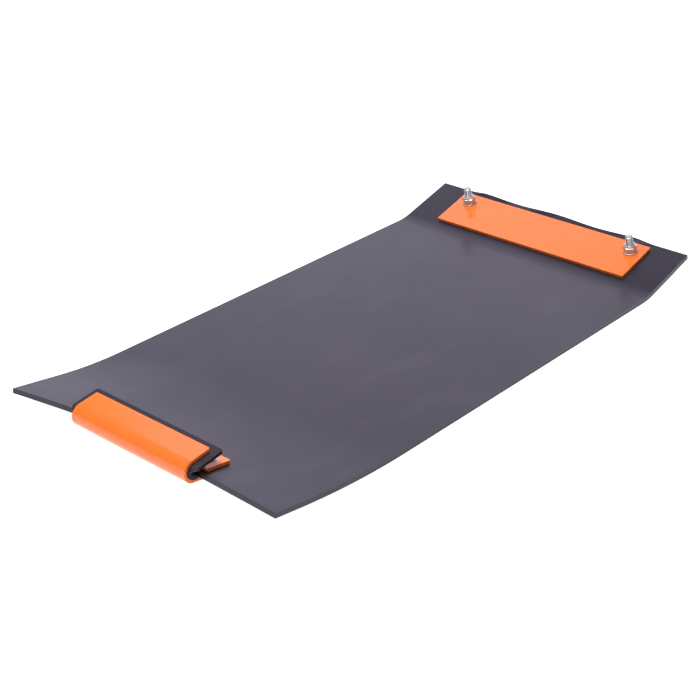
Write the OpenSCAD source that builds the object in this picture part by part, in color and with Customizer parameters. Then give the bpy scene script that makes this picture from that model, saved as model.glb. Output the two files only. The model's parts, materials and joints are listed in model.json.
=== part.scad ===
// Paving mat kit for a plate compactor: a flexible rubber mat with a hooked bracket
// at its front end and a bolted clamp bar at its rear end.
//
// Frame: millimetres. The origin is at the bottom centre of the whole object.
// +X is across the mat, +Y runs towards the rear clamp bar and +Z is up.
// Both ends of the mat curve up into straight ramps. What is bolted to a ramp is
// drawn in that ramp's own frame: its origin is on the mat's top face at the bolts,
// +Y runs along the slope towards the rear and +Z is square to the mat.

/* [Mat] */
// Width of the mat
mat_w = 320; // [300:5:500]
// Thickness of the rubber
mat_t = 5; // [4:0.5:8]
// Length that lies flat on the ground
flat_len = 378; // [300:2:600]
// Slope of the front ramp, degrees
front_ramp = 9; // [8:0.5:12]
// Length of the curve that leads into the front ramp
front_arc = 100; // [80:5:160]
// Straight length of the front ramp
front_tip = 44; // [42:1:60]
// Slope of the rear ramp, degrees
rear_ramp = 15; // [12:0.5:20]
// Length of the curve that leads into the rear ramp
rear_arc = 19; // [15:1:40]
// Straight length of the rear ramp
rear_tip = 67; // [66:1:90]
// Radius of the bolt holes punched in the mat
mat_hole_r = 4.5; // [4.5:0.1:5]

/* [Steel plate] */
// Thickness of the sheet that the bracket, strip and bar are cut from
plate_t = 3; // [2.5:0.5:4]
// Radius at the corners of the strip and the bar
corner_r = 1.5; // [1:0.5:3]

/* [Hook bracket] */
// Width of the hook
hook_w = 142.5; // [138:0.5:150]
// Outer radius of the bend
hook_r = 10.4; // [10:0.1:13]
// Length of the straight upper leg
hook_leg = 20.5; // [16:0.5:22]
// Slope at which the upper leg opens from level, degrees
hook_open = 8; // [4:0.5:10]
// How far the lower leg runs behind the bolts
hook_back = 14; // [10:1:16]

/* [Hook liner] */
// Thickness of the liner
liner_t = 3; // [2:0.5:4]
// How far the liner stands past each end of the hook
liner_side = 8; // [2:0.5:9]
// How far the liner stands past the tip of the upper leg
liner_lip = 7; // [4:0.5:10]

/* [Front clamp strip] */
// Width of the strip
strip_w = 151; // [140:1:154]
// Depth of the strip
strip_d = 26; // [24:1:28]
// Distance from the front bolts to the strip's front edge
strip_front = 15; // [12:0.5:16]
// Distance between the two front bolts
front_bolt_gap = 125; // [100:1:125]
// Distance from the front bolts to the mat's front edge
front_bolt_in = 22; // [18:0.5:24]
// How far the bend's centre lies in front of the mat's front edge
bend_out = 3.8; // [2:0.2:4.4]

/* [Rear clamp bar] */
// Width of the bar
bar_w = 243; // [230:1:260]
// Depth of the bar
bar_d = 54; // [40:1:56]
// Distance between the two rear bolts
rear_bolt_gap = 212; // [190:1:214]
// Distance from the rear bolts to the bar's rear edge
rear_bolt_in = 14.5; // [12:0.5:20]
// Distance from the bar's rear edge to the mat's rear edge
bar_margin = 8.5; // [6:0.5:12]

/* [Rear fasteners, M8] */
// Length of the bolt under its head
bolt8_len = 30; // [28:1:40]
// Nut and bolt head, across flats
hex8_af = 13; // [12.5:0.1:13]
// Height of the bolt's head
head8_h = 5.3; // [4:0.1:5.5]
// Height of the locking nut
nut8_h = 8; // [7.5:0.1:9]
// Outer diameter of the flat washer
washer8_od = 16; // [15:0.5:20]
// Thickness of the flat washer
washer8_t = 1.6; // [1:0.1:2]
// Outer diameter of the wide washer below the mat
penny8_od = 24; // [20:1:30]
// Thickness of the wide washer below the mat
penny8_t = 2; // [1.5:0.1:3]

/* [Front fasteners, M6] */
// Length of the bolt under its domed head
bolt6_len = 16; // [16:0.5:18]
// Diameter of the domed head
dome6_d = 14; // [12:0.5:15]
// Height of the domed head
dome6_h = 3.5; // [3:0.1:4]
// Side of the square neck under the domed head
neck6_side = 6; // [5.5:0.1:6.2]
// Length of the square neck
neck6_h = 4; // [3:0.5:4.5]
// Nut, across flats
hex6_af = 10; // [9.5:0.1:10]
// Height of the thin nut
nut6_h = 3.2; // [3:0.1:4]
// Outer diameter of the split lock washer
washer6_od = 11.8; // [11:0.1:14]
// Thickness of the split lock washer
washer6_t = 1.6; // [1:0.1:1.8]
// Width of the split
washer6_split = 1.5; // [1:0.1:2]

/* [Hidden] */

$fn = 64;
eps = 0.01;                 // overlap that lets a cut pass right through
rest_gap = 0.02;            // between the mat and a plate that rests on it
left = -1;                  // side signs, seen from the front end looking towards the rear
right = 1;

m8_r = 4;                   // nominal thread radius
m6_r = 3;
run_gap = 0.05;             // radial running clearance of a nut on its thread
m8_hole_r = 4.5;            // clearance hole in steel for M8
m6_hole_r = 3.3;            // clearance hole in steel for M6
neck_gap = 0.15;            // clearance on each side of the square neck
washer_gap = 0.2;           // radial clearance of a washer on its bolt
tip_chamfer = 1;            // chamfer at the end of a thread
bond_gap = 0.1;             // glue line between the liner and the hook
liner_end_gap = 0.5;        // between the end of the liner and the mat's edge
insert_fit = 0.02;          // radial gap between a nylon ring and its collar
collar_r = 1.46;            // a locking nut's collar, pocket and lip, as shares of the thread radius
pocket_r = 1.30;
lip_r = 1.16;
collar_low = 0.74;          // where its collar and pocket start and its pocket ends, as shares of its height
pocket_low = 0.70;
pocket_high = 0.94;
arc_steps = 16;             // facets along each curve of the mat
bend_steps = 28;            // facets along each bend of the hook
bevel_slope = 30;           // slope at which a hexagon's corners are turned off, degrees
bevel_in = 0.2;             // how far inside the flats that bevel starts

steel_orange = [0.93, 0.40, 0.13];
rubber_grey = [0.28, 0.26, 0.30];
liner_black = [0.08, 0.08, 0.09];
zinc = [0.78, 0.79, 0.82];
nylon_white = [0.75, 0.77, 0.80];

// Radii of the curves, measured to the middle of the mat's thickness
front_arc_r = front_arc / (front_ramp * PI / 180);
rear_arc_r = rear_arc / (rear_ramp * PI / 180);

// Upper face of a plate that rests on the mat, in its ramp's frame
plate_top = rest_gap + plate_t;

// The hook's bend centre, in the front ramp's frame as [y, z]
bend_y = -(front_bolt_in + bend_out);
bend_z = -mat_t + hook_r - plate_t;
leg_slope = front_ramp + hook_open;

// How far the front bolts, and then the hook, lie in front of the flat length
front_bolt_reach = front_arc_r * sin(front_ramp) + (front_tip - front_bolt_in) * cos(front_ramp)
                   - mat_t / 2 * sin(front_ramp);
hook_reach = front_bolt_reach - bend_y * cos(front_ramp) - bend_z * sin(front_ramp) + hook_r;
// How far the mat's rear edge lies behind the flat length
rear_reach = rear_arc_r * sin(rear_ramp) + rear_tip * cos(rear_ramp) + mat_t / 2 * sin(rear_ramp);

// Where the flat length starts and ends, so that the origin is in the middle of the whole
total_len = hook_reach + flat_len + rear_reach;
flat_front = hook_reach - total_len / 2;
flat_rear = flat_front + flat_len;

// Height of the mat's middle line at the start of each straight ramp
front_rise = mat_t / 2 + front_arc_r * (1 - cos(front_ramp));
rear_rise = mat_t / 2 + rear_arc_r * (1 - cos(rear_ramp));

// Origins of the two ramp frames, as [y, z]
front_origin = [flat_front - front_bolt_reach,
                front_rise + (front_tip - front_bolt_in) * sin(front_ramp) + mat_t / 2 * cos(front_ramp)];
rear_run = rear_tip - bar_margin - rear_bolt_in;
rear_origin = [flat_rear + rear_arc_r * sin(rear_ramp) + rear_run * cos(rear_ramp) - mat_t / 2 * sin(rear_ramp),
               rear_rise + rear_run * sin(rear_ramp) + mat_t / 2 * cos(rear_ramp)];

// One face of the mat, from its rear edge to its front edge: side is +1 on top, -1 below
function mat_face(side) =
    let (o = side * mat_t / 2)
    concat(
        [[flat_rear + rear_arc_r * sin(rear_ramp) + rear_tip * cos(rear_ramp) - o * sin(rear_ramp),
          rear_rise + rear_tip * sin(rear_ramp) + o * cos(rear_ramp)]],
        [for (i = [arc_steps:-1:0])
            let (a = rear_ramp * i / arc_steps)
            [flat_rear + (rear_arc_r - o) * sin(a), mat_t / 2 + rear_arc_r - (rear_arc_r - o) * cos(a)]],
        [for (i = [0:arc_steps])
            let (a = front_ramp * i / arc_steps)
            [flat_front - (front_arc_r - o) * sin(a), mat_t / 2 + front_arc_r - (front_arc_r - o) * cos(a)]],
        [[flat_front - front_arc_r * sin(front_ramp) - front_tip * cos(front_ramp) + o * sin(front_ramp),
          front_rise + front_tip * sin(front_ramp) + o * cos(front_ramp)]]);

function reversed(list) = [for (i = [len(list) - 1:-1:0]) list[i]];

module on_front_ramp() {
    translate([0, front_origin[0], front_origin[1]]) rotate([-front_ramp, 0, 0]) children();
}

module on_rear_ramp() {
    translate([0, rear_origin[0], rear_origin[1]]) rotate([rear_ramp, 0, 0]) children();
}

// Places a child at the bolt on one side of a pair
module at_bolt(gap, side) {
    translate([side * gap / 2, 0, 0]) children();
}

// Cuts a round hole at both bolts of a pair
module bolt_holes(gap, r, z_low, z_high) {
    for (side = [left, right])
        at_bolt(gap, side) translate([0, 0, z_low - eps]) cylinder(r = r, h = z_high - z_low + 2 * eps);
}

// A flat plate with round corners, its lower face at z = 0 and its front edge at y = 0
module corner_plate(w, d, t, r) {
    linear_extrude(t) {
        translate([-w / 2 + r, 0]) square([w - 2 * r, d]);
        translate([-w / 2, r]) square([w, d - 2 * r]);
        for (x = [-w / 2 + r, w / 2 - r])
            for (y = [r, d - r])
                translate([x, y]) circle(r);
    }
}

// One face of a bent sheet, at radius r: the end of the upper leg, the bend and the end
// of the lower leg, as [y, z] from the bend's centre
function hook_face(r, leg, tail) =
    concat(
        [[leg * cos(leg_slope) - r * sin(leg_slope), leg * sin(leg_slope) + r * cos(leg_slope)]],
        [for (i = [0:bend_steps])
            let (a = 90 + leg_slope + (180 - leg_slope) * i / bend_steps)
            [r * cos(a), r * sin(a)]],
        [[tail, -r]]);

// A sheet bent into a hook, with its lower leg along +Y
module bent_sheet(r_out, t, w, leg, tail) {
    translate([0, bend_y, bend_z]) rotate([90, 0, 90]) translate([0, 0, -w / 2])
        linear_extrude(w)
            polygon(concat(hook_face(r_out, leg, tail), reversed(hook_face(r_out - t, leg, tail))));
}

// A hexagonal prism with the corners of one or both ends turned off at 30 degrees
module hex_body(af, h, bevel_low, bevel_high) {
    corner = af / sqrt(3);
    end_r = af / 2 - bevel_in;
    bevel = (corner - end_r) * tan(bevel_slope);
    low = bevel_low ? bevel : 0;
    high = bevel_high ? bevel : 0;
    intersection() {
        rotate([0, 0, 30]) cylinder(r = corner, h = h, $fn = 6);
        union() {
            translate([0, 0, low]) cylinder(r = corner + eps, h = h - low - high);
            if (bevel_low) cylinder(r1 = end_r, r2 = corner + eps, h = bevel + eps);
            if (bevel_high)
                translate([0, 0, h - bevel - eps]) cylinder(r1 = corner + eps, r2 = end_r, h = bevel + eps);
        }
    }
}

// A plain nut
module thin_nut(af, h, thread_r) {
    difference() {
        hex_body(af, h, true, true);
        translate([0, 0, -eps]) cylinder(r = thread_r + run_gap, h = h + 2 * eps);
    }
}

// A hexagonal nut with a round collar that holds a nylon ring
module locking_nut(af, h, thread_r) {
    difference() {
        union() {
            hex_body(af, collar_low * h, true, true);
            cylinder(r = collar_r * thread_r, h = h);
        }
        translate([0, 0, -eps]) cylinder(r = thread_r + run_gap, h = h + 2 * eps);
        translate([0, 0, pocket_low * h]) cylinder(r = pocket_r * thread_r, h = (pocket_high - pocket_low) * h);
        translate([0, 0, pocket_low * h]) cylinder(r = lip_r * thread_r, h = h);
    }
}

// The nylon ring inside a locking nut
module nylon_ring(h, thread_r) {
    translate([0, 0, pocket_low * h]) difference() {
        cylinder(r = pocket_r * thread_r - insert_fit, h = (pocket_high - pocket_low) * h);
        translate([0, 0, -eps]) cylinder(r = thread_r + run_gap, h = h);
    }
}

module washer(od, id_r, t) {
    difference() {
        cylinder(d = od, h = t);
        translate([0, 0, -eps]) cylinder(r = id_r, h = t + 2 * eps);
    }
}

// A plain shank from z = 0 up, with its free end chamfered
module shank(r, len) {
    cylinder(r = r, h = len - tip_chamfer);
    translate([0, 0, len - tip_chamfer]) cylinder(r1 = r, r2 = r - tip_chamfer, h = tip_chamfer);
}

module mat() {
    color(rubber_grey) difference() {
        rotate([90, 0, 90]) translate([0, 0, -mat_w / 2])
            linear_extrude(mat_w) polygon(concat(mat_face(1), reversed(mat_face(-1))));
        on_front_ramp() bolt_holes(front_bolt_gap, mat_hole_r, -mat_t, 0);
        on_rear_ramp() bolt_holes(rear_bolt_gap, mat_hole_r, -mat_t, 0);
    }
}

// The upper leg, the bend and the lower leg, which lies under the mat
module hook_bracket() {
    color(steel_orange) on_front_ramp() difference() {
        bent_sheet(hook_r, plate_t, hook_w, hook_leg, hook_back - bend_y);
        bolt_holes(front_bolt_gap, m6_hole_r, -mat_t - plate_t, -mat_t);
    }
}

// Rubber bonded inside the upper leg and the bend, ending at the mat's front edge
module hook_liner() {
    color(liner_black) on_front_ramp()
        bent_sheet(hook_r - plate_t - bond_gap, liner_t, hook_w + 2 * liner_side,
                   hook_leg + liner_lip, bend_out - liner_end_gap);
}

module front_clamp_strip() {
    hole = neck6_side + 2 * neck_gap;
    color(steel_orange) on_front_ramp() difference() {
        translate([0, -strip_front, rest_gap]) corner_plate(strip_w, strip_d, plate_t, corner_r);
        for (side = [left, right])
            at_bolt(front_bolt_gap, side) translate([-hole / 2, -hole / 2, 0])
                cube([hole, hole, plate_top + eps]);
    }
}

// A bolt with a domed head and a square neck, its head on top of the strip
module front_bolt(side) {
    dome_r = (pow(dome6_d / 2, 2) + pow(dome6_h, 2)) / (2 * dome6_h);
    color(zinc) on_front_ramp() at_bolt(front_bolt_gap, side) translate([0, 0, plate_top]) {
        intersection() {
            translate([0, 0, dome6_h - dome_r]) sphere(r = dome_r);
            cylinder(d = dome6_d, h = dome6_h);
        }
        translate([-neck6_side / 2, -neck6_side / 2, -neck6_h])
            cube([neck6_side, neck6_side, neck6_h]);
        mirror([0, 0, 1]) shank(m6_r, bolt6_len);
    }
}

// Places a child under the lower leg, pointing down
module below_hook(side) {
    on_front_ramp() at_bolt(front_bolt_gap, side)
        translate([0, 0, -mat_t - plate_t]) rotate([180, 0, 0]) children();
}

module front_lock_washer(side) {
    color(zinc) below_hook(side) difference() {
        washer(washer6_od, m6_r + washer_gap, washer6_t);
        translate([-washer6_split / 2, 0, -eps]) cube([washer6_split, washer6_od, washer6_t + 2 * eps]);
    }
}

module front_nut(side) {
    color(zinc) below_hook(side) translate([0, 0, washer6_t]) thin_nut(hex6_af, nut6_h, m6_r);
}

module rear_clamp_bar() {
    color(steel_orange) on_rear_ramp() difference() {
        translate([0, rear_bolt_in - bar_d, rest_gap]) corner_plate(bar_w, bar_d, plate_t, corner_r);
        bolt_holes(rear_bolt_gap, m8_hole_r, 0, plate_top);
    }
}

// A hexagon-headed bolt that comes up through the mat and the bar
module rear_bolt(side) {
    color(zinc) on_rear_ramp() at_bolt(rear_bolt_gap, side) translate([0, 0, -mat_t - penny8_t]) {
        mirror([0, 0, 1]) hex_body(hex8_af, head8_h, false, true);
        shank(m8_r, bolt8_len);
    }
}

module rear_backing_washer(side) {
    color(zinc) on_rear_ramp() at_bolt(rear_bolt_gap, side)
        translate([0, 0, -mat_t - penny8_t]) washer(penny8_od, m8_r + washer_gap, penny8_t);
}

module rear_washer(side) {
    color(zinc) on_rear_ramp() at_bolt(rear_bolt_gap, side)
        translate([0, 0, plate_top]) washer(washer8_od, m8_r + washer_gap, washer8_t);
}

// Places a child on top of the rear washer
module on_rear_washer(side) {
    on_rear_ramp() at_bolt(rear_bolt_gap, side) translate([0, 0, plate_top + washer8_t]) children();
}

module rear_nut(side) {
    color(zinc) on_rear_washer(side) locking_nut(hex8_af, nut8_h, m8_r);
}

module rear_nut_insert(side) {
    color(nylon_white) on_rear_washer(side) nylon_ring(nut8_h, m8_r);
}

mat();
hook_bracket();
hook_liner();
front_clamp_strip();
front_bolt(left);  // front_bolt_left
front_bolt(right);  // front_bolt_right
front_lock_washer(left);  // front_lock_washer_left
front_lock_washer(right);  // front_lock_washer_right
front_nut(left);  // front_nut_left
front_nut(right);  // front_nut_right
rear_clamp_bar();
rear_bolt(left);  // rear_bolt_left
rear_bolt(right);  // rear_bolt_right
rear_backing_washer(left);  // rear_backing_washer_left
rear_backing_washer(right);  // rear_backing_washer_right
rear_washer(left);  // rear_washer_left
rear_washer(right);  // rear_washer_right
rear_nut(left);  // rear_nut_left
rear_nut(right);  // rear_nut_right
rear_nut_insert(left);  // rear_nut_insert_left
rear_nut_insert(right);  // rear_nut_insert_right
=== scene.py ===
"""Looks of a plate compactor's paving mat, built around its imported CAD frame.

The frame gives every place: the front ramp is where the clamp strip's box is, and the rear
ramp is where the nuts' joints are. Shapes are drawn in millimetres in a ramp's own frame,
whose origin is on the mat's top face at the bolts, +Y runs up to the rear along the slope
and +Z is square to the mat. They turn into metres when a mesh is made.
"""
import json
import math

import bmesh
import bpy
from mathutils import Matrix, Vector


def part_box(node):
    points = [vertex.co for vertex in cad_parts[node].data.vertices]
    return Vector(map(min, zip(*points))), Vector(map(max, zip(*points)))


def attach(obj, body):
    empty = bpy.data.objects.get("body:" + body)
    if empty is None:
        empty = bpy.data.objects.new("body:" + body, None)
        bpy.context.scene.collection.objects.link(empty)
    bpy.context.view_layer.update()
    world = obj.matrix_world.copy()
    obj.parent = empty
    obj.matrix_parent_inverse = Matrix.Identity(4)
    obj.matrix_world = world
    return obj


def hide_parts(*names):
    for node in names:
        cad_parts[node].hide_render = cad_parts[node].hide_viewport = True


# A millimetre in metres
MM = 0.001

# Mat: its width and thickness, the front ramp's slope in degrees, and the lengths of the rear
# end's curve and of its straight ramp
MAT_W, MAT_T = 320, 5
FRONT_SLOPE, REAR_ARC, REAR_TIP = 9, 19, 67
MAT_HOLE_R = 4.5

# Steel sheet and what is cut from it
PLATE_T = 3
# How far the plates stand off the rubber
REST_GAP = 0.02
STRIP_W, STRIP_D, STRIP_FRONT = 151, 26, 15
BAR_W, BAR_D = 243, 54
CORNER_R, CORNER_STEPS = 1.5, 6
# How far the rear bolts are in from the bar's rear edge, and how much of the mat lies behind it
REAR_BOLT_IN, BAR_MARGIN = 14.5, 8.5
M8_HOLE_R, M6_HOLE_R, NECK_HOLE = 4.5, 3.3, 6.3

# Hook: its width, its bend's outer radius, and its upper and lower legs' lengths
HOOK_W, HOOK_R, HOOK_LEG, HOOK_TAIL = 142.5, 10.4, 20.5, 39.8
# Its bend's centre lies in front of the bolts, and its upper leg rises to the rear by this angle
# in degrees from the ramp
HOOK_BEND_Y, HOOK_OPEN = -25.8, 17
# Liner: its thickness, how far it stands past the hook's ends and its tip, and its bond's gap
LINER_T, LINER_SIDE, LINER_LIP, LINER_GAP = 3, 8, 7, 0.1
# Its lower leg's length and its corners' radius
LINER_TAIL, LINER_CORNER = 5.5, 3
# The liner narrows over the start of the bend until it stands this far past the hook's ends
LINER_BEND_SIDE, LINER_TAPER = 1.5, 10
# How many steps the hook's sheets take along the upper leg and round the bend
LEG_STEPS, BEND_STEPS = 4, 40

# Fasteners, drawn with this many points round them. R is a radius, AF a width across flats, OD
# an outer diameter, T a thickness and H a height. The penny washers lie under the mat
ROUND = 48
M8_R, M8_PITCH, M8_LEN, HEX8_AF, HEAD8_H, NUT8_H = 4, 1.25, 30, 13, 5.3, 8
M6_R, M6_PITCH, M6_LEN, HEX6_AF, NUT6_H = 3, 1.0, 16, 10, 3.2
WASHER8_OD, WASHER8_T, PENNY_OD, PENNY_T = 16, 1.6, 24, 2
WASHER6_OD, WASHER6_T, WASHER6_SPLIT = 11.8, 1.6, 1.5
DOME_D, DOME_H, NECK, NECK_H = 14, 3.5, 6, 4
# How far a washer's bore and a nut's bore stand off the thread
WASHER_GAP, RUN_GAP = 0.2, 0.05
# Top of the rear washers above the mat
WASHER_TOP = REST_GAP + PLATE_T + WASHER8_T

# Widths of the rounded edges, and the steps and the least angle in degrees for small shapes
MAT_EDGE, PLATE_EDGE, STRIP_EDGE, LINER_EDGE = 0.5, 0.35, 0.3, 0.4
BOLT8_EDGE, NUT8_EDGE, WASHER_EDGE, INSERT_EDGE = 0.15, 0.12, 0.06, 0.1
BOLT6_EDGE, NUT6_EDGE, SPLIT_EDGE = 0.12, 0.1, 0.12
FINE_STEPS, FINE_ANGLE = 2, 25

SIDES = ("left", "right")


# ---------------------------------------------------------------- frame

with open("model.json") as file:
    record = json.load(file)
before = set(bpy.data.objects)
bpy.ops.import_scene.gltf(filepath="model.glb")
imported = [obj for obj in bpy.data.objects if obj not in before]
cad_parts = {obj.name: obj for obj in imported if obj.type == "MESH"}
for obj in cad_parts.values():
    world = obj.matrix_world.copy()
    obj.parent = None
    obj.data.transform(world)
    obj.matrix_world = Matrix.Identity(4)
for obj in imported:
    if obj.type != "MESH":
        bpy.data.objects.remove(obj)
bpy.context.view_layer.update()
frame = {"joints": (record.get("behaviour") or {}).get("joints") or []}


def ramp(origin, slope):
    """A ramp's own frame as a matrix from metres there to metres in the row's frame."""
    return Matrix.Translation(origin) @ Matrix.Rotation(slope, 4, "X")


def front_ramp():
    """The strip lies flat on the ramp, half its thickness above it and a little in front of the bolts."""
    low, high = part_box("front_clamp_strip")
    turn = ramp(Vector(), math.radians(-FRONT_SLOPE))
    rise = turn @ (Vector((0, STRIP_D / 2 - STRIP_FRONT, REST_GAP + PLATE_T / 2)) * MM)
    return ramp((low + high) / 2 - rise, math.radians(-FRONT_SLOPE))


def rear_ramp():
    """The nuts turn about an axis square to the ramp and sit on the washers."""
    spin = next(joint for joint in frame["joints"] if joint["name"] == "nut_left_spin")
    axis = Vector(spin["axis"])
    origin = Vector(spin["pos_m"]) - axis * WASHER_TOP * MM
    origin.x = 0
    return ramp(origin, math.atan2(-axis.y, axis.z))


FRONT = front_ramp()
REAR = rear_ramp()


def centre_x(node):
    """How far across the mat a node's middle is, in millimetres."""
    low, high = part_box(node)
    return (low.x + high.x) / 2 / MM


# ---------------------------------------------------------------- mesh building

def new_piece(name, points, faces, matrix):
    """A mesh object from points in millimetres in a ramp's frame."""
    mesh = bpy.data.meshes.new(name)
    mesh.from_pydata([matrix @ (Vector(p) * MM) for p in points], [], faces)
    bm = bmesh.new()
    bm.from_mesh(mesh)
    bmesh.ops.recalc_face_normals(bm, faces=bm.faces)
    bm.to_mesh(mesh)
    bm.free()
    piece = bpy.data.objects.new(name, mesh)
    bpy.context.scene.collection.objects.link(piece)
    return piece


def slab(top, bottom):
    """The closed sheet between two grids of points, as (points, faces)."""
    rows, cols = len(top), len(top[0])
    size = rows * cols
    points = [p for grid in (top, bottom) for row in grid for p in row]
    faces = []
    for i in range(rows - 1):
        for j in range(cols - 1):
            k = i * cols + j
            quad = (k, k + 1, k + cols + 1, k + cols)
            faces.append(quad)
            faces.append(tuple(size + v for v in reversed(quad)))
    rim = list(range(cols))
    rim += [i * cols + cols - 1 for i in range(1, rows)]
    rim += [(rows - 1) * cols + j for j in range(cols - 2, -1, -1)]
    rim += [i * cols for i in range(rows - 2, 0, -1)]
    for a, b in zip(rim, rim[1:] + rim[:1]):
        faces.append((b, a, size + a, size + b))
    return points, faces


def skin(rings, looped):
    """Joins rings of points one to the next, and either loops round to the first or caps both ends."""
    count = len(rings[0])
    points = [p for ring in rings for p in ring]
    faces = []
    pairs = list(zip(range(len(rings)), range(1, len(rings))))
    if looped:
        pairs.append((len(rings) - 1, 0))
    for a, b in pairs:
        for j in range(count):
            k = (j + 1) % count
            faces.append((a * count + j, a * count + k, b * count + k, b * count + j))
    if not looped:
        faces.append(tuple(range(count)))
        faces.append(tuple((len(rings) - 1) * count + j for j in range(count)))
    return points, faces


def turned(profile, looped=False):
    """A shape turned about Z from (radius, z) pairs, either of which may be a function of the angle."""
    rings = []
    for pair in profile:
        ring = []
        for j in range(ROUND):
            angle = 2 * math.pi * j / ROUND
            radius, z = (value(angle) if callable(value) else value for value in pair)
            ring.append((radius * math.cos(angle), radius * math.sin(angle), z))
        rings.append(ring)
    return skin(rings, looped)


def shifted(shape, x, z=0, flip=False):
    """A shape moved in its ramp's frame, and first turned upside down if asked."""
    points, faces = shape
    side = -1 if flip else 1
    return [(px + x, side * py, side * pz + z) for px, py, pz in points], faces


def polygon_radius(sides, across_flats):
    """The radius of a regular polygon with a flat on the X axis, as a function of the angle."""
    step = 2 * math.pi / sides

    def radius(angle):
        off = (angle - step / 2) % step - step / 2
        return across_flats / 2 / math.cos(off)

    return radius


def quarter_turn(steps):
    """Angles from 0 to 90 degrees in equal steps, in radians."""
    return [math.pi / 2 * i / steps for i in range(steps + 1)]


def drill_out(piece, radius, low, high, bolts, matrix):
    """Cuts a hole between two heights out of a piece at both bolts of a pair."""
    hole = turned([(radius, low), (radius, high)])
    cutters = []
    for side in SIDES:
        cutter = new_piece("cutter", *shifted(hole, centre_x(bolts + side)), matrix)
        cut = piece.modifiers.new("cut", "BOOLEAN")
        cut.operation = "DIFFERENCE"
        cut.solver = "EXACT"
        cut.object = cutter
        cutters.append(cutter)
    bpy.context.view_layer.update()
    depsgraph = bpy.context.evaluated_depsgraph_get()
    cut_mesh = bpy.data.meshes.new_from_object(piece.evaluated_get(depsgraph))
    piece.modifiers.clear()
    piece.data = cut_mesh
    for cutter in cutters:
        bpy.data.objects.remove(cutter)


def soften(piece, width, segments=3, angle=35):
    """Rounds the sharp edges of a piece and smooths the shading between them."""
    bevel = piece.modifiers.new("edges", "BEVEL")
    bevel.width = width * MM
    bevel.segments = segments
    bevel.limit_method = "ANGLE"
    bevel.angle_limit = math.radians(angle)
    bevel.harden_normals = True
    piece.data.shade_smooth()
    weighted = piece.modifiers.new("shading", "WEIGHTED_NORMAL")
    weighted.keep_sharp = True


def finish_piece(piece, node, body, material):
    """Puts a piece in the place of its CAD node and gives it its finish."""
    piece.data.materials.clear()
    piece.data.materials.append(MATERIALS[material])
    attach(piece, body)
    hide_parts(node)


# ---------------------------------------------------------------- materials

class Nodes:
    """Short ways to add and join shader nodes."""

    def __init__(self, name):
        self.material = bpy.data.materials.new(name)
        self.material.use_nodes = True
        self.tree = self.material.node_tree
        self.shader = self.tree.nodes["Principled BSDF"]
        self.where = self.tree.nodes.new("ShaderNodeTexCoord").outputs["Object"]

    def link(self, out, socket):
        """Joins an output to an input."""
        self.tree.links.new(out, socket)

    def stretched(self, scale):
        """Object coordinates scaled along each axis, so that a pattern runs one way."""
        node = self.tree.nodes.new("ShaderNodeMapping")
        node.inputs["Scale"].default_value = scale
        self.link(self.where, node.inputs["Vector"])
        return node.outputs["Vector"]

    def noise(self, scale, detail, rough=0.55, where=None):
        """Noise in object coordinates, or in stretched ones if they are given."""
        node = self.tree.nodes.new("ShaderNodeTexNoise")
        node.inputs["Scale"].default_value = scale
        node.inputs["Detail"].default_value = detail
        node.inputs["Roughness"].default_value = rough
        self.link(where or self.where, node.inputs["Vector"])
        return node.outputs["Fac"]

    def ramp(self, fac, stops):
        """A colour ramp from (position, colour or grey) pairs."""
        node = self.tree.nodes.new("ShaderNodeValToRGB")
        elements = node.color_ramp.elements
        while len(elements) < len(stops):
            elements.new(0.5)
        for element, (position, value) in zip(elements, stops):
            element.position = position
            rgb = value if isinstance(value, tuple) else (value, value, value)
            element.color = (*rgb, 1)
        self.link(fac, node.inputs["Fac"])
        return node.outputs["Color"]

    def patches(self, scale, detail, stops):
        """A colour ramp over a noise."""
        return self.ramp(self.noise(scale, detail), stops)

    def mix(self, fac, a, b):
        """Colour a where fac is 0 and colour b where it is 1."""
        node = self.tree.nodes.new("ShaderNodeMix")
        node.data_type = "RGBA"
        self.link(fac, node.inputs["Factor"])
        self.link(a, node.inputs["A"])
        self.link(b, node.inputs["B"])
        return node.outputs["Result"]

    def bump(self, height, strength, distance, under=None):
        """A bump, on top of another one if it is given."""
        node = self.tree.nodes.new("ShaderNodeBump")
        node.inputs["Strength"].default_value = strength
        node.inputs["Distance"].default_value = distance
        self.link(height, node.inputs["Height"])
        if under:
            self.link(under, node.inputs["Normal"])
        return node.outputs["Normal"]

    def surface(self, color, roughness, normal=None, **fixed):
        """Joins what varies to the shader and sets what is the same all over on its sockets."""
        self.link(color, self.shader.inputs["Base Color"])
        self.link(roughness, self.shader.inputs["Roughness"])
        if normal:
            self.link(normal, self.shader.inputs["Normal"])
        for name, value in fixed.items():
            self.shader.inputs[name.replace("_", " ")].default_value = value
        return self.material


def mat_rubber():
    """Calendered rubber sheet: faint clouding, a few light scuffs and a fine grain."""
    n = Nodes("mat_rubber")
    cloud = n.patches(7, 4, [(0.3, (0.010, 0.009, 0.012)), (0.7, (0.016, 0.014, 0.018))])
    streaks = n.noise(9, 2, 0.5, n.stretched((2.5, 1, 1)))
    scuff = n.ramp(streaks, [(0.56, 0.0), (0.80, 1.0)])
    worn = n.ramp(streaks, [(0.0, (0.022, 0.019, 0.025)), (1.0, (0.032, 0.028, 0.036))])
    grain = n.noise(700, 2)
    rough = n.mix(scuff, n.patches(24, 4, [(0.3, 0.29), (0.7, 0.34)]),
                  n.ramp(streaks, [(0.0, 0.35), (1.0, 0.40)]))
    normal = n.bump(grain, 0.15, 0.0001, n.bump(n.noise(40, 2), 0.15, 0.0004))
    return n.surface(n.mix(scuff, cloud, worn), rough, normal, Specular_IOR_Level=0.38,
                     Specular_Tint=(0.80, 0.70, 1.0, 1))


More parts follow.
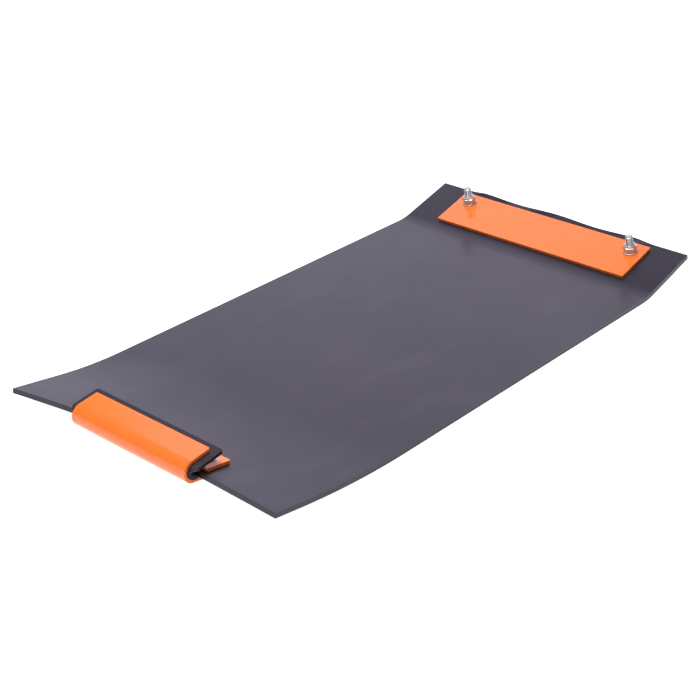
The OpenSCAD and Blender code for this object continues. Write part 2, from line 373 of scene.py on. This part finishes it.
def liner_rubber():
    """Matt black sheet rubber with a slightly open grain."""
    n = Nodes("liner_rubber")
    color = n.patches(60, 4, [(0.3, (0.008, 0.006, 0.009)), (0.7, (0.015, 0.011, 0.016))])
    rough = n.patches(140, 3, [(0.3, 0.45), (0.7, 0.62)])
    normal = n.bump(n.noise(1300, 2), 0.35, 0.0001)
    return n.surface(color, rough, normal, Specular_IOR_Level=0.28, Specular_Tint=(1, 0.82, 0.96, 1))


def orange_paint():
    """Glossy powder coat with a slight orange peel."""
    n = Nodes("orange_paint")
    color = n.patches(30, 3, [(0.3, (0.72, 0.146, 0.018)), (0.7, (0.75, 0.155, 0.022))])
    rough = n.patches(90, 3, [(0.3, 0.09), (0.7, 0.14)])
    normal = n.bump(n.noise(300, 1.5), 0.04, 0.0002)
    return n.surface(color, rough, normal)


def zinc_steel():
    """Bright zinc plate: fine drawn lines, a faint blue and straw cast and small dull patches."""
    n = Nodes("zinc_steel")
    blue, plain, straw = (0.50, 0.52, 0.58), (0.62, 0.62, 0.64), (0.64, 0.60, 0.56)
    cast = n.patches(190, 4, [(0.3, blue), (0.55, plain), (0.8, straw)])
    rough = n.patches(420, 4, [(0.3, 0.29), (0.75, 0.38)])
    normal = n.bump(n.noise(900, 2, 0.5, n.stretched((1, 1, 4))), 0.12, 0.00005)
    return n.surface(cast, rough, normal, Metallic=1.0)


def nylon():
    """The milky ring of a locking nut."""
    n = Nodes("nylon")
    color = n.patches(300, 3, [(0.3, (0.60, 0.65, 0.72)), (0.7, (0.70, 0.73, 0.78))])
    rough = n.patches(500, 2, [(0.3, 0.34), (0.7, 0.46)])
    return n.surface(color, rough, n.bump(n.noise(700, 2), 0.1, 0.0001), Subsurface_Weight=0.15,
                     Subsurface_Scale=0.001)


def pale_floor():
    """A floor that glows, so that it stays white under the mat's shadow."""
    n = Nodes("pale_floor")
    color = n.patches(2, 2, [(0.3, 0.43), (0.7, 0.45)])
    rough = n.patches(5, 2, [(0.3, 0.75), (0.7, 0.85)])
    return n.surface(color, rough, Emission_Color=(1, 1, 1, 1), Emission_Strength=1.0)


MATERIALS = {make.__name__: make() for make in
             (mat_rubber, liner_rubber, orange_paint, zinc_steel, nylon, pale_floor)}


# ---------------------------------------------------------------- mat

def smooth(t):
    """Rises from 0 to 1 with t, level at both ends."""
    t = min(max(t, 0), 1)
    return t * t * (3 - 2 * t)


def blend(a, b, t):
    """The value a share t of the way from a to b."""
    return a + (b - a) * t


# Front end of the mat at its left side, its middle and its right side: how far behind the
# front bolts the flat ends, how long the curve is and how long the straight ramp is
FLAT_END = (91.1, 120.93, 137)
CURVE_LEN = (73, 100, 133)
TIP_LEN = (51.5, 41.5, 27)
# The middle, this far to each side, carries the hook and keeps the CAD's curve and slope. Past
# it a value blends into the side's, as this power of the distance
STIFF_HALF, DROOP_EASE = 80, 1.15
# The wave in the rear edge: its mean height and swing, a crest's place across the mat, its
# length and the distance over which it fades out at the bar's ends
CURL_MEAN, CURL_SWING, CURL_CREST, CURL_WAVE, CURL_FADE = 1.1, 0.9, -3, 103, 25
# How many steps the mat's grid takes over the front end, the flat, the rear end and across
FRONT_STEPS, FLAT_STEPS, REAR_STEPS, ACROSS_STEPS = 40, 80, 48, 72


def across(values, x):
    """A front end's value at x, blended from the middle to the side that x is on."""
    side = values[0] if x < 0 else values[2]
    t = max((abs(x) - STIFF_HALF) / (MAT_W / 2 - STIFF_HALF), 0)
    return blend(values[1], side, t ** DROOP_EASE)


def curved_end(distance, curve_len, slope):
    """The mat's middle line after the flat: (how far out, how far up, slope) in mm and radians."""
    radius = curve_len / slope
    angle = min(distance, curve_len) / radius
    beyond = max(distance - curve_len, 0)
    out = radius * math.sin(angle) + beyond * math.cos(angle)
    up = radius * (1 - math.cos(angle)) + beyond * math.sin(angle)
    return out, up, angle


def mat_line(x, share, rear_flat, rear_slope):
    """Where a place on the mat lies: (y, how far up, slope). Its share is -2 at the front edge,
    -1 and 1 at the flat's two ends and 2 at the rear edge."""
    flat_end = FRONT.translation.y / MM + across(FLAT_END, x)
    if share < -1:
        curve, tip = across(CURVE_LEN, x), across(TIP_LEN, x)
        out, up, angle = curved_end((-1 - share) * (curve + tip), curve, math.radians(FRONT_SLOPE))
        return flat_end - out, up, -angle
    if share > 1:
        out, up, angle = curved_end((share - 1) * (REAR_ARC + REAR_TIP), REAR_ARC, rear_slope)
        return rear_flat + out, up, angle
    return blend(flat_end, rear_flat, (share + 1) / 2), 0, 0


def rear_curl(x, y, edge):
    """How far the strip of mat behind the clamp bar stands up, in a shallow wave."""
    near_edge = smooth(1 - (edge - y) / BAR_MARGIN)
    under_bar = smooth((BAR_W / 2 - abs(x)) / CURL_FADE)
    wave = CURL_MEAN + CURL_SWING * math.cos(2 * math.pi * (x - CURL_CREST) / CURL_WAVE)
    return wave * near_edge * under_bar


def mat_shares():
    """The shares of the mat's rows of points, from front to rear."""
    shares = [-2 + i / FRONT_STEPS for i in range(FRONT_STEPS)]
    shares += [-1 + 2 * i / FLAT_STEPS for i in range(FLAT_STEPS)]
    shares += [1 + i / REAR_STEPS for i in range(REAR_STEPS + 1)]
    return shares


def mat_grids():
    """The points of the mat's upper and lower faces, in rows from front to rear."""
    slope = math.atan2(REAR[2][1], REAR[1][1])
    rear_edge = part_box("mat")[1].y / MM
    rear_end = rear_edge - MAT_T / 2 * math.sin(slope)
    rear_flat = rear_end - curved_end(REAR_ARC + REAR_TIP, REAR_ARC, slope)[0]
    top, bottom = [], []
    for share in mat_shares():
        row_top, row_bottom = [], []
        for j in range(ACROSS_STEPS + 1):
            x = MAT_W * (j / ACROSS_STEPS - 0.5)
            y, up, angle = mat_line(x, share, rear_flat, slope)
            up += rear_curl(x, y, rear_edge)
            mid = Vector((x, y, MAT_T / 2 + up))
            half = Vector((0, -math.sin(angle), math.cos(angle))) * MAT_T / 2
            row_top.append(mid + half)
            row_bottom.append(mid - half)
        top.append(row_top)
        bottom.append(row_bottom)
    return top, bottom


def mat():
    """The rubber sheet with its four bolt holes."""
    piece = new_piece("mat_sheet", *slab(*mat_grids()), Matrix())
    drill_out(piece, MAT_HOLE_R, -MAT_T * 2, MAT_T, "front_bolt_", FRONT)
    drill_out(piece, MAT_HOLE_R, -MAT_T * 2, MAT_T, "rear_bolt_", REAR)
    soften(piece, MAT_EDGE)
    finish_piece(piece, "mat", "mat_body", "mat_rubber")


# ---------------------------------------------------------------- steel sheet and liner

def corner_rows(length, radius, inner):
    """Rows along a sheet as (distance, inset of its sides), with round corners at both ends."""
    quarter = [(radius * (1 - math.cos(a)), radius * (1 - math.sin(a)))
               for a in quarter_turn(CORNER_STEPS)]
    rows = list(quarter)
    rows += [(d, 0) for d in inner if radius < d < length - radius]
    rows += [(length - d, inset) for d, inset in reversed(quarter)]
    return rows


def sheet(rows, width, faces_at):
    """A sheet of a given width whose two faces at a distance along it come from faces_at."""
    grids = ([], [])
    for distance, inset in rows:
        half = width / 2 - inset
        for grid, (y, z) in zip(grids, faces_at(distance)):
            grid.append([(-half, y, z), (half, y, z)])
    return slab(*grids)


def flat_plate(node, width, depth, y_front, hole_r, bolts, matrix):
    """A plate with round corners that rests on the mat, with a hole for each bolt of a pair."""
    def faces_at(distance):
        return ((y_front + distance, REST_GAP + PLATE_T), (y_front + distance, REST_GAP))

    shape = sheet(corner_rows(depth, CORNER_R, []), width, faces_at)
    piece = new_piece(node + "_plate", *shape, matrix)
    drill_out(piece, hole_r, -PLATE_T, PLATE_T * 2, bolts, matrix)
    return piece


def hook_faces(r_out, thickness, leg):
    """What gives the points of both faces of a sheet bent into the hook at a distance from its
    upper tip, and how long its bend is."""
    slope = math.radians(HOOK_OPEN)
    bend = math.pi - slope
    bend_len = bend * r_out
    centre_z = HOOK_R - PLATE_T - MAT_T

    def face(r, distance):
        """A point of the face that goes round the bend at a radius r."""
        if distance < leg:
            q = leg - distance
            return (HOOK_BEND_Y + q * math.cos(slope) - r * math.sin(slope),
                    centre_z + q * math.sin(slope) + r * math.cos(slope))
        if distance < leg + bend_len:
            a = math.pi / 2 + slope + (distance - leg) / r_out
            return HOOK_BEND_Y + r * math.cos(a), centre_z + r * math.sin(a)
        return HOOK_BEND_Y + distance - leg - bend_len, centre_z - r

    return (lambda d: (face(r_out, d), face(r_out - thickness, d))), bend_len


def hook_sheet(width, r_out, thickness, leg, tail, corner, narrowing=0):
    """A sheet bent into the hook, with rows close together round its bend, whose sides may
    draw in over the start of the bend."""
    faces_at, bend_len = hook_faces(r_out, thickness, leg)
    length = leg + bend_len + tail
    inner = [leg * i / LEG_STEPS for i in range(1, LEG_STEPS + 1)]
    inner += [leg + bend_len * i / BEND_STEPS for i in range(1, BEND_STEPS + 1)]
    rows = [(d, inset + narrowing * smooth((d - leg) / LINER_TAPER))
            for d, inset in corner_rows(length, corner, inner)]
    return sheet(rows, width, faces_at)


def hook_bracket():
    """The orange hook round the mat's front edge, its lower leg drilled for the front bolts."""
    shape = hook_sheet(HOOK_W, HOOK_R, PLATE_T, HOOK_LEG, HOOK_TAIL, CORNER_R)
    piece = new_piece("hook_bracket_sheet", *shape, FRONT)
    drill_out(piece, M6_HOLE_R, -MAT_T - PLATE_T * 2, -MAT_T / 2, "front_bolt_", FRONT)
    soften(piece, PLATE_EDGE)
    finish_piece(piece, "hook_bracket", "mat_body", "orange_paint")


def hook_liner():
    """The rubber strip inside the hook, wider than the hook and longer at its open end."""
    shape = hook_sheet(HOOK_W + 2 * LINER_SIDE, HOOK_R - PLATE_T - LINER_GAP, LINER_T,
                       HOOK_LEG + LINER_LIP, LINER_TAIL, LINER_CORNER, LINER_SIDE - LINER_BEND_SIDE)
    piece = new_piece("hook_liner_sheet", *shape, FRONT)
    soften(piece, LINER_EDGE)
    finish_piece(piece, "hook_liner", "mat_body", "liner_rubber")


def front_clamp_strip():
    """The orange strip over the mat's front end, with square holes for the bolts' necks."""
    node = "front_clamp_strip"
    square = polygon_radius(4, NECK_HOLE)
    piece = flat_plate(node, STRIP_W, STRIP_D, -STRIP_FRONT, square, "front_bolt_", FRONT)
    soften(piece, STRIP_EDGE)
    finish_piece(piece, node, "mat_body", "orange_paint")


def rear_clamp_bar():
    """The orange bar across the mat's rear end, which slides up on the rear bolts."""
    node = "rear_clamp_bar"
    piece = flat_plate(node, BAR_W, BAR_D, REAR_BOLT_IN - BAR_D, M8_HOLE_R, "rear_bolt_", REAR)
    soften(piece, PLATE_EDGE)
    finish_piece(piece, node, "clamp_bar_body", "orange_paint")


# ---------------------------------------------------------------- fasteners

# A thread's depth, and the widths of its crests and its sloping flanks, as shares of its pitch
THREAD_DEPTH, THREAD_CREST, THREAD_FLANKS = 0.61, 0.12, 0.76
# Its rings to a turn and the turns over which it fades in
TURN_RINGS, FADE_TURNS = 8, 2


def thread(radius, pitch, start, end, chamfer):
    """Rings of a right-hand thread from start to end, which fades in and ends in a chamfer."""
    depth = THREAD_DEPTH * pitch
    rings = []
    steps = round((end - start) / pitch * TURN_RINGS)
    for i in range(steps + 1):
        z = blend(start, end, i / steps)
        fade = smooth((z - start) / (FADE_TURNS * pitch))
        limit = radius - max(z - (end - chamfer), 0)

        def at(angle, z=z, fade=fade, limit=limit):
            """The thread's radius at an angle round this ring."""
            phase = (z / pitch - angle / (2 * math.pi)) % 1
            groove = min(max((1 - abs(2 * phase - 1) - THREAD_CREST) / THREAD_FLANKS, 0), 1)
            return min(radius - depth * groove * fade, limit)

        rings.append((at, z))
    return rings


# The bevel on a hexagon's corners: how far inside the flats it starts and its slope in degrees
BEVEL_IN, BEVEL_SLOPE = 0.25, 30


def hex_profile(across_flats, low, high, bevel_high=True):
    """The hexagonal stretch of a turned shape, its corners bevelled below and, if asked, above."""
    hexagon = polygon_radius(6, across_flats)
    face_r = across_flats / 2 - BEVEL_IN
    slope = math.tan(math.radians(BEVEL_SLOPE))

    def drop(angle):
        """How far the bevel has fallen from the face at an angle."""
        return (hexagon(angle) - face_r) * slope

    profile = [(face_r, low), (hexagon, lambda angle: low + drop(angle))]
    if bevel_high:
        return profile + [(hexagon, lambda angle: high - drop(angle)), (face_r, high)]
    return profile + [(hexagon, high)]


def fastener(node, kind, shape, z, matrix, flip=False):
    """The piece for a fastener's node, at the node's place across the mat and at a height z."""
    return new_piece(node + kind, *shifted(shape, centre_x(node), z, flip), matrix)


# Rear bolt: the step under its head, its plain shank's end, and its thread's start and chamfer
HEAD_STEP, HEAD_STEP_H = 0.4, 0.05
SHANK8_H, THREAD8_START, THREAD8_CHAMFER = 4.0, 4.5, 1.2


def rear_bolt(side):
    """A hexagon-headed bolt that comes up through the mat and the bar."""
    node = "rear_bolt_" + side
    profile = hex_profile(HEX8_AF, -HEAD8_H, -HEAD_STEP_H, bevel_high=False)
    profile += [(HEX8_AF / 2 - HEAD_STEP, 0), (M8_R, 0), (M8_R, SHANK8_H)]
    profile += thread(M8_R, M8_PITCH, THREAD8_START, M8_LEN, THREAD8_CHAMFER)
    piece = fastener(node, "_piece", turned(profile), -MAT_T - PENNY_T, REAR)
    soften(piece, BOLT8_EDGE, FINE_STEPS, FINE_ANGLE)
    finish_piece(piece, node, "mat_body", "zinc_steel")


# A locking nut: its hexagon's share of its height, the straight wall of its collar and the
# rounding above that, and the radii and heights of the collar, of the lip and of the pocket that
# holds the ring
NUT_HEX_SHARE, NUT_WALL, COLLAR_ROUND, COLLAR_STEPS = 0.74, 1, 0.55, 6
COLLAR_R, LIP_R, POCKET_R, POCKET_LOW, POCKET_HIGH = 5.84, 4.64, 5.2, 5.6, 7.52
LIP_BEVEL, LIP_BEVEL_H = 0.26, 0.2
# The bevels of the two nuts' bores, and the ring's bevel and its gap in the pocket
BORE8_BEVEL, BORE6_BEVEL = 0.4, 0.3
RING_BEVEL, RING_GAP = 0.3, 0.02


def rear_nut(side):
    """A locking nut whose round collar holds a nylon ring."""
    node = "rear_nut_" + side
    bore = M8_R + RUN_GAP
    hex_top = NUT_HEX_SHARE * NUT8_H
    crown = NUT8_H - hex_top - NUT_WALL
    profile = [(bore + BORE8_BEVEL, 0)] + hex_profile(HEX8_AF, 0, hex_top)
    profile.append((COLLAR_R, hex_top))
    profile += [(COLLAR_R - COLLAR_ROUND * (1 - math.cos(a)), hex_top + NUT_WALL + crown * math.sin(a))
                for a in quarter_turn(COLLAR_STEPS)]
    profile += [(LIP_R + LIP_BEVEL, NUT8_H), (LIP_R, NUT8_H - LIP_BEVEL_H), (LIP_R, POCKET_HIGH)]
    profile += [(POCKET_R, POCKET_HIGH), (POCKET_R, POCKET_LOW), (bore, POCKET_LOW), (bore, BORE8_BEVEL)]
    piece = fastener(node, "_piece", turned(profile, True), WASHER_TOP, REAR)
    soften(piece, NUT8_EDGE, FINE_STEPS, FINE_ANGLE)
    finish_piece(piece, node, "nut_" + side + "_body", "zinc_steel")


def rear_nut_insert(side):
    """The nylon ring in a locking nut's pocket."""
    node = "rear_nut_insert_" + side
    inner, outer = M8_R + RUN_GAP, POCKET_R - RING_GAP
    low, high = POCKET_LOW + RING_GAP, POCKET_HIGH - RING_GAP
    profile = [(inner, low), (outer, low), (outer, high), (inner + RING_BEVEL, high),
               (inner, high - RING_BEVEL)]
    piece = fastener(node, "_ring", turned(profile, True), WASHER_TOP, REAR)
    soften(piece, INSERT_EDGE, FINE_STEPS)
    finish_piece(piece, node, "nut_" + side + "_body", "nylon")


# The steps round a washer's edges
WASHER_STEPS = 4


def washer(inner, outer, thickness):
    """A stamped washer, its upper edges rounded and its lower ones sharp."""
    round_r = thickness / 4
    insets = [(round_r * (1 - math.cos(a)), thickness - round_r * (1 - math.sin(a)))
              for a in quarter_turn(WASHER_STEPS)]
    profile = [(inner, 0), (outer, 0)]
    profile += [(outer - inset, z) for inset, z in insets]
    profile += [(inner + inset, z) for inset, z in reversed(insets)]
    return turned(profile, True)


def rear_washer(side):
    """A flat washer that rides on the bar."""
    node = "rear_washer_" + side
    shape = washer(M8_R + WASHER_GAP, WASHER8_OD / 2, WASHER8_T)
    piece = fastener(node, "_ring", shape, REST_GAP + PLATE_T, REAR)
    soften(piece, WASHER_EDGE, FINE_STEPS)
    finish_piece(piece, node, "clamp_bar_body", "zinc_steel")


def rear_backing_washer(side):
    """A wide washer under the mat, turned so that its rounded edges face down."""
    node = "rear_backing_washer_" + side
    shape = washer(M8_R + WASHER_GAP, PENNY_OD / 2, PENNY_T)
    piece = fastener(node, "_ring", shape, -MAT_T, REAR, True)
    soften(piece, WASHER_EDGE, FINE_STEPS)
    finish_piece(piece, node, "mat_body", "zinc_steel")


# Front bolt: its dome's steps, the dome's flat tip and how far that is below its top, the slope
# under its neck, and its thread's start below the neck and its chamfer
DOME_STEPS, DOME_TIP_R, DOME_TIP_DROP = 14, 0.3, 0.002
NECK_SLOPE_H, THREAD6_START, THREAD6_CHAMFER = 0.3, 0.5, 0.9


def front_bolt(side):
    """A domed head, a square neck and a thread that points down."""
    node = "front_bolt_" + side
    ball = ((DOME_D / 2) ** 2 + DOME_H ** 2) / (2 * DOME_H)
    widest = math.asin(DOME_D / 2 / ball)
    profile = [(DOME_TIP_R, DOME_H - DOME_TIP_DROP)]
    for i in range(1, DOME_STEPS + 1):
        angle = widest * i / DOME_STEPS
        profile.append((ball * math.sin(angle), DOME_H - ball * (1 - math.cos(angle))))
    square = polygon_radius(4, NECK)
    profile += [(square, 0), (square, -NECK_H), (M6_R, -NECK_H - NECK_SLOPE_H)]
    stem = thread(M6_R, M6_PITCH, NECK_H + THREAD6_START, M6_LEN, THREAD6_CHAMFER)
    profile += [(radius, -z) for radius, z in stem]
    piece = fastener(node, "_piece", turned(profile), REST_GAP + PLATE_T, FRONT)
    soften(piece, BOLT6_EDGE, FINE_STEPS, FINE_ANGLE)
    finish_piece(piece, node, "mat_body", "zinc_steel")


def front_nut(side):
    """A thin hexagon nut under the lock washer."""
    node = "front_nut_" + side
    bore = M6_R + RUN_GAP
    profile = [(bore, BORE6_BEVEL), (bore + BORE6_BEVEL, 0)] + hex_profile(HEX6_AF, 0, NUT6_H)
    profile += [(bore + BORE6_BEVEL, NUT6_H), (bore, NUT6_H - BORE6_BEVEL)]
    below = -MAT_T - PLATE_T - WASHER6_T
    piece = fastener(node, "_piece", turned(profile, True), below, FRONT, True)
    soften(piece, NUT6_EDGE, FINE_STEPS, FINE_ANGLE)
    finish_piece(piece, node, "mat_body", "zinc_steel")


# How much thinner the lock washer's wire is on the inside, on each face
WIRE_TAPER = 0.05


def front_lock_washer(side):
    """A split ring of square wire whose ends stand a little apart."""
    node = "front_lock_washer_" + side
    inner, outer = M6_R + WASHER_GAP, WASHER6_OD / 2
    wire = ((inner, WIRE_TAPER), (outer, 0), (outer, WASHER6_T), (inner, WASHER6_T - WIRE_TAPER))
    gap = WASHER6_SPLIT / 2 / outer
    rings = []
    for i in range(ROUND + 1):
        angle = math.pi / 2 + blend(gap, 2 * math.pi - gap, i / ROUND)
        rings.append([(r * math.cos(angle), r * math.sin(angle), z) for r, z in wire])
    piece = fastener(node, "_ring", skin(rings, False), -MAT_T - PLATE_T, FRONT, True)
    soften(piece, SPLIT_EDGE, FINE_STEPS)
    finish_piece(piece, node, "mat_body", "zinc_steel")


# ---------------------------------------------------------------- studio

# Camera: its place in metres, its lens and sensor in millimetres, how near it sees in metres, its
# heading, the angle it looks down at and its roll
EYE, LENS = (0.8515, -0.9517, 0.6652), 76.49
SENSOR_W, CLIP_START = 36, 0.01
YAW, PITCH, ROLL = math.radians(42.864), math.radians(27.984), math.radians(-1.55)

# The white wall: the headings of its sides and the height of its top in degrees, how
# soft those edges are, and its colour
WALL_LEFT, WALL_RIGHT, WALL_TOP = -61.8, 15, 48.7
LEFT_SOFT, RIGHT_SOFT, TOP_SOFT = 0.7, 2.9, 0.7
WALL = (1.37, 1.32, 1.56)
# The rest of the room: white at the floor's edge, grey from a little higher up
ROOM_LOW, ROOM_HIGH = (1.0, 1.0, 1.0), (0.25, 0.25, 0.26)
LOW_HEIGHT, HIGH_HEIGHT = 0.08, 0.24
# The floor's reach from its middle, and the soft light's place and size, all in metres, and the
# light's power in watts
FLOOR_HALF = 6
LIGHT_PLACE, LIGHT_SIZE, LIGHT_POWER = (-0.3, -0.35, 2.35), 1.8, 87


def camera():
    """The camera of the photo, recovered from the mat's edges."""
    data = bpy.data.cameras.new("camera")
    data.sensor_width = SENSOR_W
    data.lens = LENS
    data.clip_start = CLIP_START
    cam = bpy.data.objects.new("camera", data)
    cam.matrix_world = (Matrix.Translation(EYE) @ Matrix.Rotation(YAW, 4, "Z")
                        @ Matrix.Rotation(math.pi / 2 - PITCH, 4, "X") @ Matrix.Rotation(ROLL, 4, "Z"))
    bpy.context.scene.collection.objects.link(cam)
    bpy.context.scene.camera = cam


def floor():
    """The white ground under the mat."""
    reach = FLOOR_HALF / MM
    corners = [(x * reach, y * reach, 0) for x, y in ((-1, -1), (1, -1), (1, 1), (-1, 1))]
    plane = new_piece("floor", corners, [(0, 1, 2, 3)], Matrix())
    plane.data.materials.append(MATERIALS["pale_floor"])


def softbox():
    """A large soft light aimed at the middle of the mat, itself out of every picture."""
    data = bpy.data.lights.new("top", "AREA")
    data.size = LIGHT_SIZE
    data.energy = LIGHT_POWER
    light = bpy.data.objects.new("top", data)
    light.location = LIGHT_PLACE
    light.rotation_euler = Vector(LIGHT_PLACE).to_track_quat("Z", "Y").to_euler()
    light.visible_camera = False
    bpy.context.scene.collection.objects.link(light)


class Sky:
    """Short ways to add and join the world's shader nodes."""

    def __init__(self, name):
        self.world = bpy.data.worlds.new(name)
        self.world.use_nodes = True
        self.nodes = self.world.node_tree.nodes
        self.links = self.world.node_tree.links
        self.where = self.nodes.new("ShaderNodeTexCoord").outputs["Generated"]

    def along(self, direction):
        """How far the view points in a direction, as a sine."""
        dot = self.nodes.new("ShaderNodeVectorMath")
        dot.operation = "DOT_PRODUCT"
        dot.inputs[1].default_value = direction
        self.links.new(self.where, dot.inputs[0])
        return dot.outputs["Value"]

    def side_of(self, direction, edge, soft):
        """Rises from 0 to 1 as the view passes an edge on its way in a direction; the edge is a
        sine, and soft is in degrees."""
        value = self.along(direction)
        span = self.nodes.new("ShaderNodeMapRange")
        span.interpolation_type = "SMOOTHSTEP"
        span.inputs["From Min"].default_value = edge - math.radians(soft)
        span.inputs["From Max"].default_value = edge + math.radians(soft)
        self.links.new(value, span.inputs["Value"])
        return span.outputs["Result"]

    def times(self, a, b):
        """One value times another."""
        node = self.nodes.new("ShaderNodeMath")
        node.operation = "MULTIPLY"
        self.links.new(a, node.inputs[0])
        self.links.new(b, node.inputs[1])
        return node.outputs["Value"]

    def by_height(self):
        """The room's colour, from the floor's edge up."""
        ramp_node = self.nodes.new("ShaderNodeValToRGB")
        at_floor, higher_up = ramp_node.color_ramp.elements
        at_floor.position, at_floor.color = LOW_HEIGHT, (*ROOM_LOW, 1)
        higher_up.position, higher_up.color = HIGH_HEIGHT, (*ROOM_HIGH, 1)
        self.links.new(self.along((0, 0, 1)), ramp_node.inputs["Fac"])
        return ramp_node.outputs["Color"]


def room():
    """A grey room with one white wall, whose sides and top edge show in the glossy paint."""
    sky = Sky("room")
    left, right, top = (math.radians(angle) for angle in (WALL_LEFT, WALL_RIGHT, WALL_TOP))
    past_left = sky.side_of((math.cos(left), -math.sin(left), 0), 0, LEFT_SOFT)
    past_right = sky.side_of((-math.cos(right), math.sin(right), 0), 0, RIGHT_SOFT)
    below_top = sky.side_of((0, 0, -1), -math.sin(top), TOP_SOFT)
    on_wall = sky.times(sky.times(past_left, past_right), below_top)
    grey = sky.by_height()
    both = sky.nodes.new("ShaderNodeMix")
    both.data_type = "RGBA"
    sky.links.new(on_wall, both.inputs["Factor"])
    sky.links.new(grey, both.inputs["A"])
    both.inputs["B"].default_value = (*WALL, 1)
    sky.links.new(both.outputs["Result"], sky.nodes["Background"].inputs["Color"])
    bpy.context.scene.world = sky.world


def studio():
    """Camera, floor, room and light."""
    camera()
    floor()
    room()
    softbox()
    bpy.context.scene.view_settings.view_transform = "Standard"


studio()
mat()
hook_bracket()
hook_liner()
front_clamp_strip()
rear_clamp_bar()
for side in SIDES:
    for make in (front_bolt, front_lock_washer, front_nut, rear_bolt, rear_backing_washer,
                 rear_washer, rear_nut, rear_nut_insert):
        make(side)
